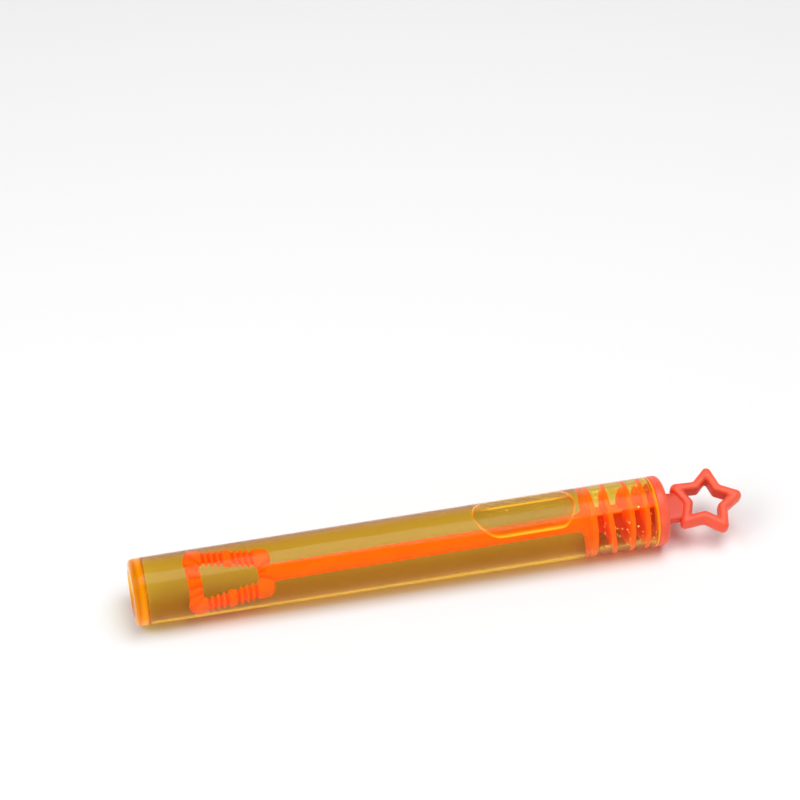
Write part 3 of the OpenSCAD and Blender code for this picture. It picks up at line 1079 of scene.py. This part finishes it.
@dataclass
class Contents:
    """What the tube holds: one long air bubble at the top of the solution, and droplets in the dry mouth."""

    lie: Lie
    bubble_start: float = -33.3 * MM
    bubble_end: float = -14.6 * MM
    start_round: float = 4.6 * MM
    end_round: float = 3.2 * MM
    half_w: float = 4.0 * MM
    depth: float = 3.3 * MM
    least_depth: float = 0.02 * MM
    film: float = 0.05 * MM
    # Widths of the painted glow along the bubble's rim.
    rim: float = 0.42 * MM
    far_rim: float = 0.5 * MM
    # Place, width, strength and fade of the painted highlight along the crest, and how fast the glow turns
    # warm.
    crest_y: float = 1.2 * MM
    crest_w: float = 0.26 * MM
    crest_glow: float = 0.8
    crest_fall: float = 4.0
    warm_rise: float = 1.6
    rows: int = 108
    steps: int = 96
    drops: int = 160
    drop_span: Pair = (-11.0 * MM, -0.6 * MM)
    drop_spread: Pair = (5.0, 0.015 * MM)
    mist: int = 240
    mist_inset: Pair = (1.2 * MM, 0.8 * MM)
    mist_spread: Pair = (6.0, 0.011 * MM)
    mist_around: Pair = (math.radians(92), math.radians(14))
    # Share of the painted glints left on the mist.
    mist_glow: float = 0.3
    sunk: float = 0.9
    seed: int = 11
    ball_steps: int = 7
    ball_rows: int = 6

    def bubble(self) -> Skin:
        """The air bubble: a bar with elliptic ends, whose top follows the bore and whose base bellies.

        The share of the full width at each place is that of an ellipse over the end's length, and so is
        the depth's. The upper edge is the circle of the bore less the film, and the lower edge is half an
        ellipse below it. The painted glow kept at each point falls with the distance from the rim, and a
        thin streak of painted highlight runs along the crest; the glow turns warm towards the ends.

        Returns:
            The bubble's skin.
        """
        angle = np.linspace(0, math.pi, self.rows + 2)[1:-1]
        middle, half_l = (self.bubble_start + self.bubble_end) / 2, (self.bubble_end - self.bubble_start) / 2
        x = middle - half_l * np.cos(angle)
        past = np.maximum(
            (self.bubble_start + self.start_round - x) / self.start_round,
            (x - self.bubble_end + self.end_round) / self.end_round,
        )
        share = np.sqrt(1 - np.clip(past, 0, 1) ** 2)[:, None]
        bore = (self.lie.bore_r(x) - self.film)[:, None]
        width = self.half_w * share
        turn = circle(self.steps)
        y = width * np.cos(turn)
        edge = np.sqrt(bore**2 - width**2)
        low = np.maximum(edge - bore + self.depth * share**2, self.least_depth)
        z = np.where(np.sin(turn) >= 0, np.sqrt(bore**2 - y**2), edge + low * np.sin(turn))
        rows = np.stack([x[:, None] + 0 * turn, y, z], -1)
        # Painted glow along the rim, and a painted highlight streak along the crest.
        reach = np.hypot(np.abs(y) - width, z - edge)
        rim = np.where(y > 0, self.far_rim, self.rim)
        crest = self.crest_glow * np.exp(-(((y - self.crest_y) / self.crest_w) ** 2)) * share**self.crest_fall
        glow = np.maximum(np.exp(-((reach / rim) ** 2)), crest * (np.sin(turn) > 0))
        first, last = [self.bubble_start, 0, bore[0, 0]], [self.bubble_end, 0, bore[-1, 0]]
        skin = lofted(rows, np.array(first), np.array(last))
        skin.values["glow"] = np.append(glow.reshape(-1), [1.0, 1.0])
        # The painted glow turns warm towards the ends.
        warm = np.clip(past[:, None] * self.warm_rise, 0, 1) + 0 * turn
        skin.values["warm"] = np.append(warm.reshape(-1), [1.0, 1.0])
        skin.points = self.lie.laid(skin.points, rolled=False)
        return skin

    def balls(self, centre: Array, size: Array) -> Skin:
        """Small balls: one coarse half circle turned about an axis, repeated at each centre.

        Args:
            centre: the balls' centres, shaped (balls, 3).
            size: their radii.

        Returns:
            One skin of all the balls.
        """
        turn = np.linspace(0, math.pi, self.ball_rows)
        ball = revolved(np.stack([np.sin(turn), np.cos(turn)], -1), self.ball_steps)
        points = (ball.points[None] * size[:, None, None] + centre[:, None]).reshape(-1, 3)
        shift = (np.arange(len(size)) * len(ball.points))[:, None, None]
        quads = (ball.quads[None] + shift).reshape(-1, 4)
        tris = (ball.tris[None] + shift).reshape(-1, 3)
        return Skin(points, quads, tris)

    def droplets(self) -> Skin:
        """Droplets on the dry seat of the mouth, and finer mist on the bubble's ceiling, by a seeded draw.

        Returns:
            One skin of them all, with a painted glow for glints, less of it on the mist.
        """
        draw = np.random.default_rng(self.seed)
        first, last = self.bubble_start + self.mist_inset[0], self.bubble_end - self.mist_inset[1]
        sizes = draw.gamma(*self.drop_spread, self.drops), draw.gamma(*self.mist_spread, self.mist)
        places = draw.uniform(*self.drop_span, self.drops), draw.uniform(first, last, self.mist)
        turns = draw.uniform(0, 2 * math.pi, self.drops), draw.normal(*self.mist_around, self.mist)
        size, x, around = (np.concatenate(pair) for pair in (sizes, places, turns))
        reach = self.lie.bore_r(x) - self.film - size * self.sunk
        centre = np.stack([x, reach * np.cos(around), reach * np.sin(around)], -1)
        skin = self.balls(centre, size)
        # Painted glints: full glow on the droplets, less on the mist.
        lit = np.repeat([1.0, self.mist_glow], [self.drops, self.mist])
        skin.values["glow"] = np.repeat(lit, len(skin.points) // len(lit))
        skin.points = self.lie.laid(skin.points, rolled=False)
        return skin

    def build(self) -> None:
        """Builds the air bubble and the droplets, which all stay with the tube."""
        Piece("air_bubble", [self.bubble()], Finish.AIR, "tube", "clear_tube").build()
        Piece("droplets", [self.droplets()], Finish.DROPLET, "tube", "clear_tube").build()


# Studio


@dataclass(frozen=True)
class Softbox:
    """A rectangular area lamp that points at the wand, of a radiance where 1 is white."""

    name: str
    place: Place
    width: float
    height: float
    radiance: float

    def build(self) -> None:
        """Adds the lamp, turned towards the origin, with the power that its area needs for its radiance."""
        lamp = bpy.data.lights.new(self.name, "AREA")
        lamp.shape, lamp.size, lamp.size_y = "RECTANGLE", self.width, self.height
        lamp.energy = self.radiance * math.pi * self.width * self.height
        thing = placed(self.name, lamp)
        thing.location = self.place
        thing.rotation_euler = (-Vector(self.place)).to_track_quat("-Z", "Y").to_euler()


@dataclass
class Studio:
    """A plain pale floor, a white surrounding, soft lamps, and the camera at the photograph's angle."""

    eye: Place = (-90.85 * MM, -369.6 * MM, 359.3 * MM)
    gaze: Place = (0.16827, 0.74733, -0.64279)
    lens: float = 130.3
    sensor: float = 36.0
    near: float = 0.01
    ambient: float = 0.45
    ceiling: float = 0.2
    ceiling_from: float = 0.35
    ceiling_rise: float = 2.5
    floor_colour: Colour = (0.96, 0.96, 0.96)
    floor_half: float = 3.0
    lamps: tuple[Softbox, ...] = (
        Softbox("overhead", (0.1, -0.055, 0.6), 0.5, 0.38, 4.3),
        Softbox("side", (-0.5, -0.14, 0.58), 0.5, 0.5, 3.4),
    )

    def floor(self) -> None:
        """The floor, a wide flat sheet under the wand, which keeps the wand's shadow."""
        half = self.floor_half
        mesh = bpy.data.meshes.new("floor")
        corners = [(-half, -half, 0), (half, -half, 0), (half, half, 0), (-half, half, 0)]
        mesh.from_pydata(corners, [], [(0, 1, 2, 3)])
        shader = Shader(bpy.data.materials.new("pale_floor"))
        shader.finish(shader.node("ShaderNodeBsdfDiffuse", None, {"Color": (*self.floor_colour, 1)}))
        mesh.materials.append(shader.owner)
        placed("floor", mesh)

    def world(self) -> None:
        """A surrounding that is white where it is seen, softer where it only lights, and darker above."""
        scene = bpy.context.scene
        scene.world = bpy.data.worlds.new("surrounding")
        shader = Shader(scene.world)
        way = shader.node("ShaderNodeTexCoord").outputs["Generated"]
        up = shader.term("ShaderNodeSeparateXYZ", None, {0: way}, "Z")
        ceiling = ((up - self.ceiling_from) * self.ceiling_rise).clamped()
        strength = shader.sees_backdrop() * (1 - self.ambient) + self.ambient
        feeds = {"Color": (1, 1, 1, 1), "Strength": strength * (1 - ceiling * (1 - self.ceiling))}
        shader.finish(shader.node("ShaderNodeBackground", None, feeds))

    def camera(self) -> None:
        """The camera, upright, at the photograph's place and angle."""
        lens = bpy.data.cameras.new("photo_camera")
        lens.sensor_width, lens.lens, lens.clip_start = self.sensor, self.lens, self.near
        thing = placed("photo_camera", lens)
        thing.location = self.eye
        thing.rotation_euler = Vector(self.gaze).to_track_quat("-Z", "Y").to_euler()
        bpy.context.scene.camera = thing

    def build(self) -> None:
        """Builds the floor, the surrounding, the lamps and the camera."""
        bpy.context.scene.view_settings.view_transform = "Standard"
        self.floor()
        self.world()
        for lamp in self.lamps:
            lamp.build()
        self.camera()
        LOG.info("studio: %d lamps, lens %.1f mm", len(self.lamps), self.lens)


def main() -> None:
    """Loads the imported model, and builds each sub-assembly and the studio."""
    logging.basicConfig(level=logging.INFO, format="%(name)s: %(message)s")
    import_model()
    lie = Lie()
    for part in (ClearTube(lie), RingedStopper(lie), DipStick(lie), StarTopper(lie), Contents(lie), Studio()):
        part.build()


if __name__ == "__main__":
    main()
